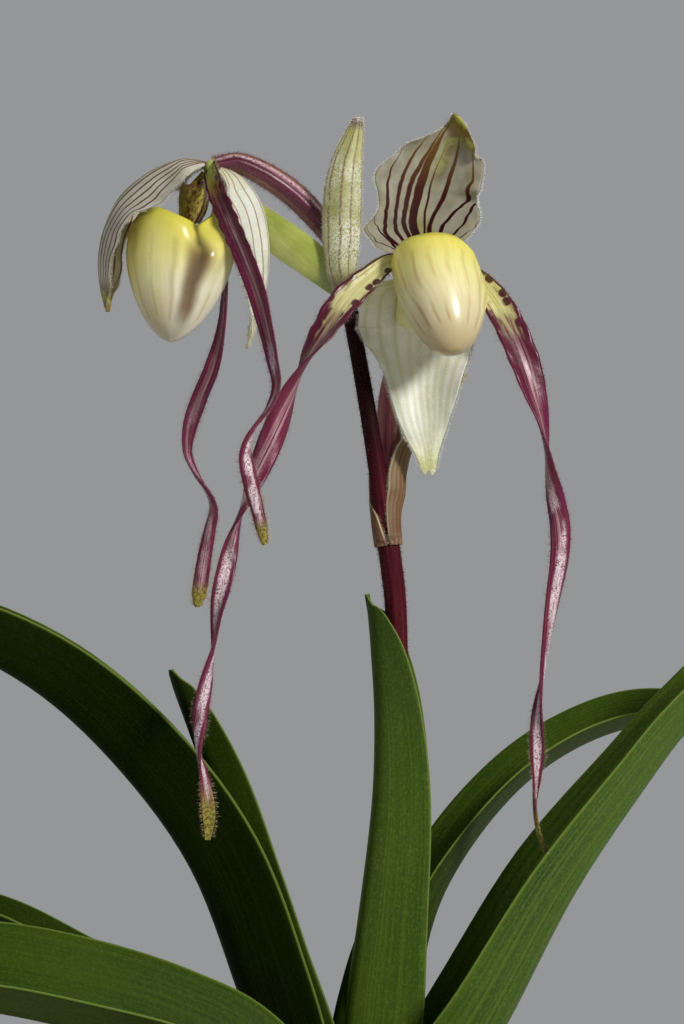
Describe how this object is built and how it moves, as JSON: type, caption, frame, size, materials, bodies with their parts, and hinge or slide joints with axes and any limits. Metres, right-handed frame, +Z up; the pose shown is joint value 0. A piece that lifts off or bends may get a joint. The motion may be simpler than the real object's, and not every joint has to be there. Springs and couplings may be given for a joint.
{
  "type": "potted paphiopedilum philippinense",
  "caption": "Slipper orchid with striped flowers on one hairy stem, long twisted petals and strap leaves, standing in bark in a plain clay pot.",
  "frame": {"origin": "middle of the pot's flat underside", "axes": "+Z up along the pot's axis; the first flower looks towards -Y and the second towards -X"},
  "size_m": [0.3768, 0.142, 0.3732],
  "materials": {
    "clay": "matt fired clay",
    "bark": "rough",
    "root": "matt",
    "leaf": "satin, leathery",
    "scape": "hairy",
    "ovary": "hairy, ridged",
    "petal": "satin",
    "sepal": "soft satin",
    "pouch": "glossy, waxy",
    "column": "satin",
    "lower_bract": "papery",
    "green_bract": "waxy",
    "end_bract": "hairy"
  },
  "bodies": {
    "root": {"pot": "clay", "bark": "bark", "rhizome_and_roots": "root", "leaf_centre": "leaf", "leaf_right": "leaf", "leaf_left": "leaf", "leaf_front_left": "leaf", "leaf_right_back": "leaf", "leaf_left_back": "leaf", "leaf_inner": "leaf", "leaf_middle_left": "leaf", "leaf_low_right": "leaf", "leaf_low_left": "leaf", "flower_1_ovary": "ovary", "flower_1_column": "column", "flower_1_pouch": "pouch", "flower_1_petal_left": "petal", "flower_1_petal_right": "petal", "flower_1_dorsal_sepal": "sepal", "flower_1_synsepal": "sepal", "flower_2_ovary": "ovary", "flower_2_column": "column", "flower_2_pouch": "pouch", "flower_2_petal_near": "petal", "flower_2_petal_far": "petal", "flower_2_dorsal_sepal": "sepal", "flower_2_synsepal": "sepal", "flower_stem": "scape", "end_bract": "end_bract", "lower_bract": "lower_bract", "green_bract": "green_bract"}
  },
  "joints": []
}
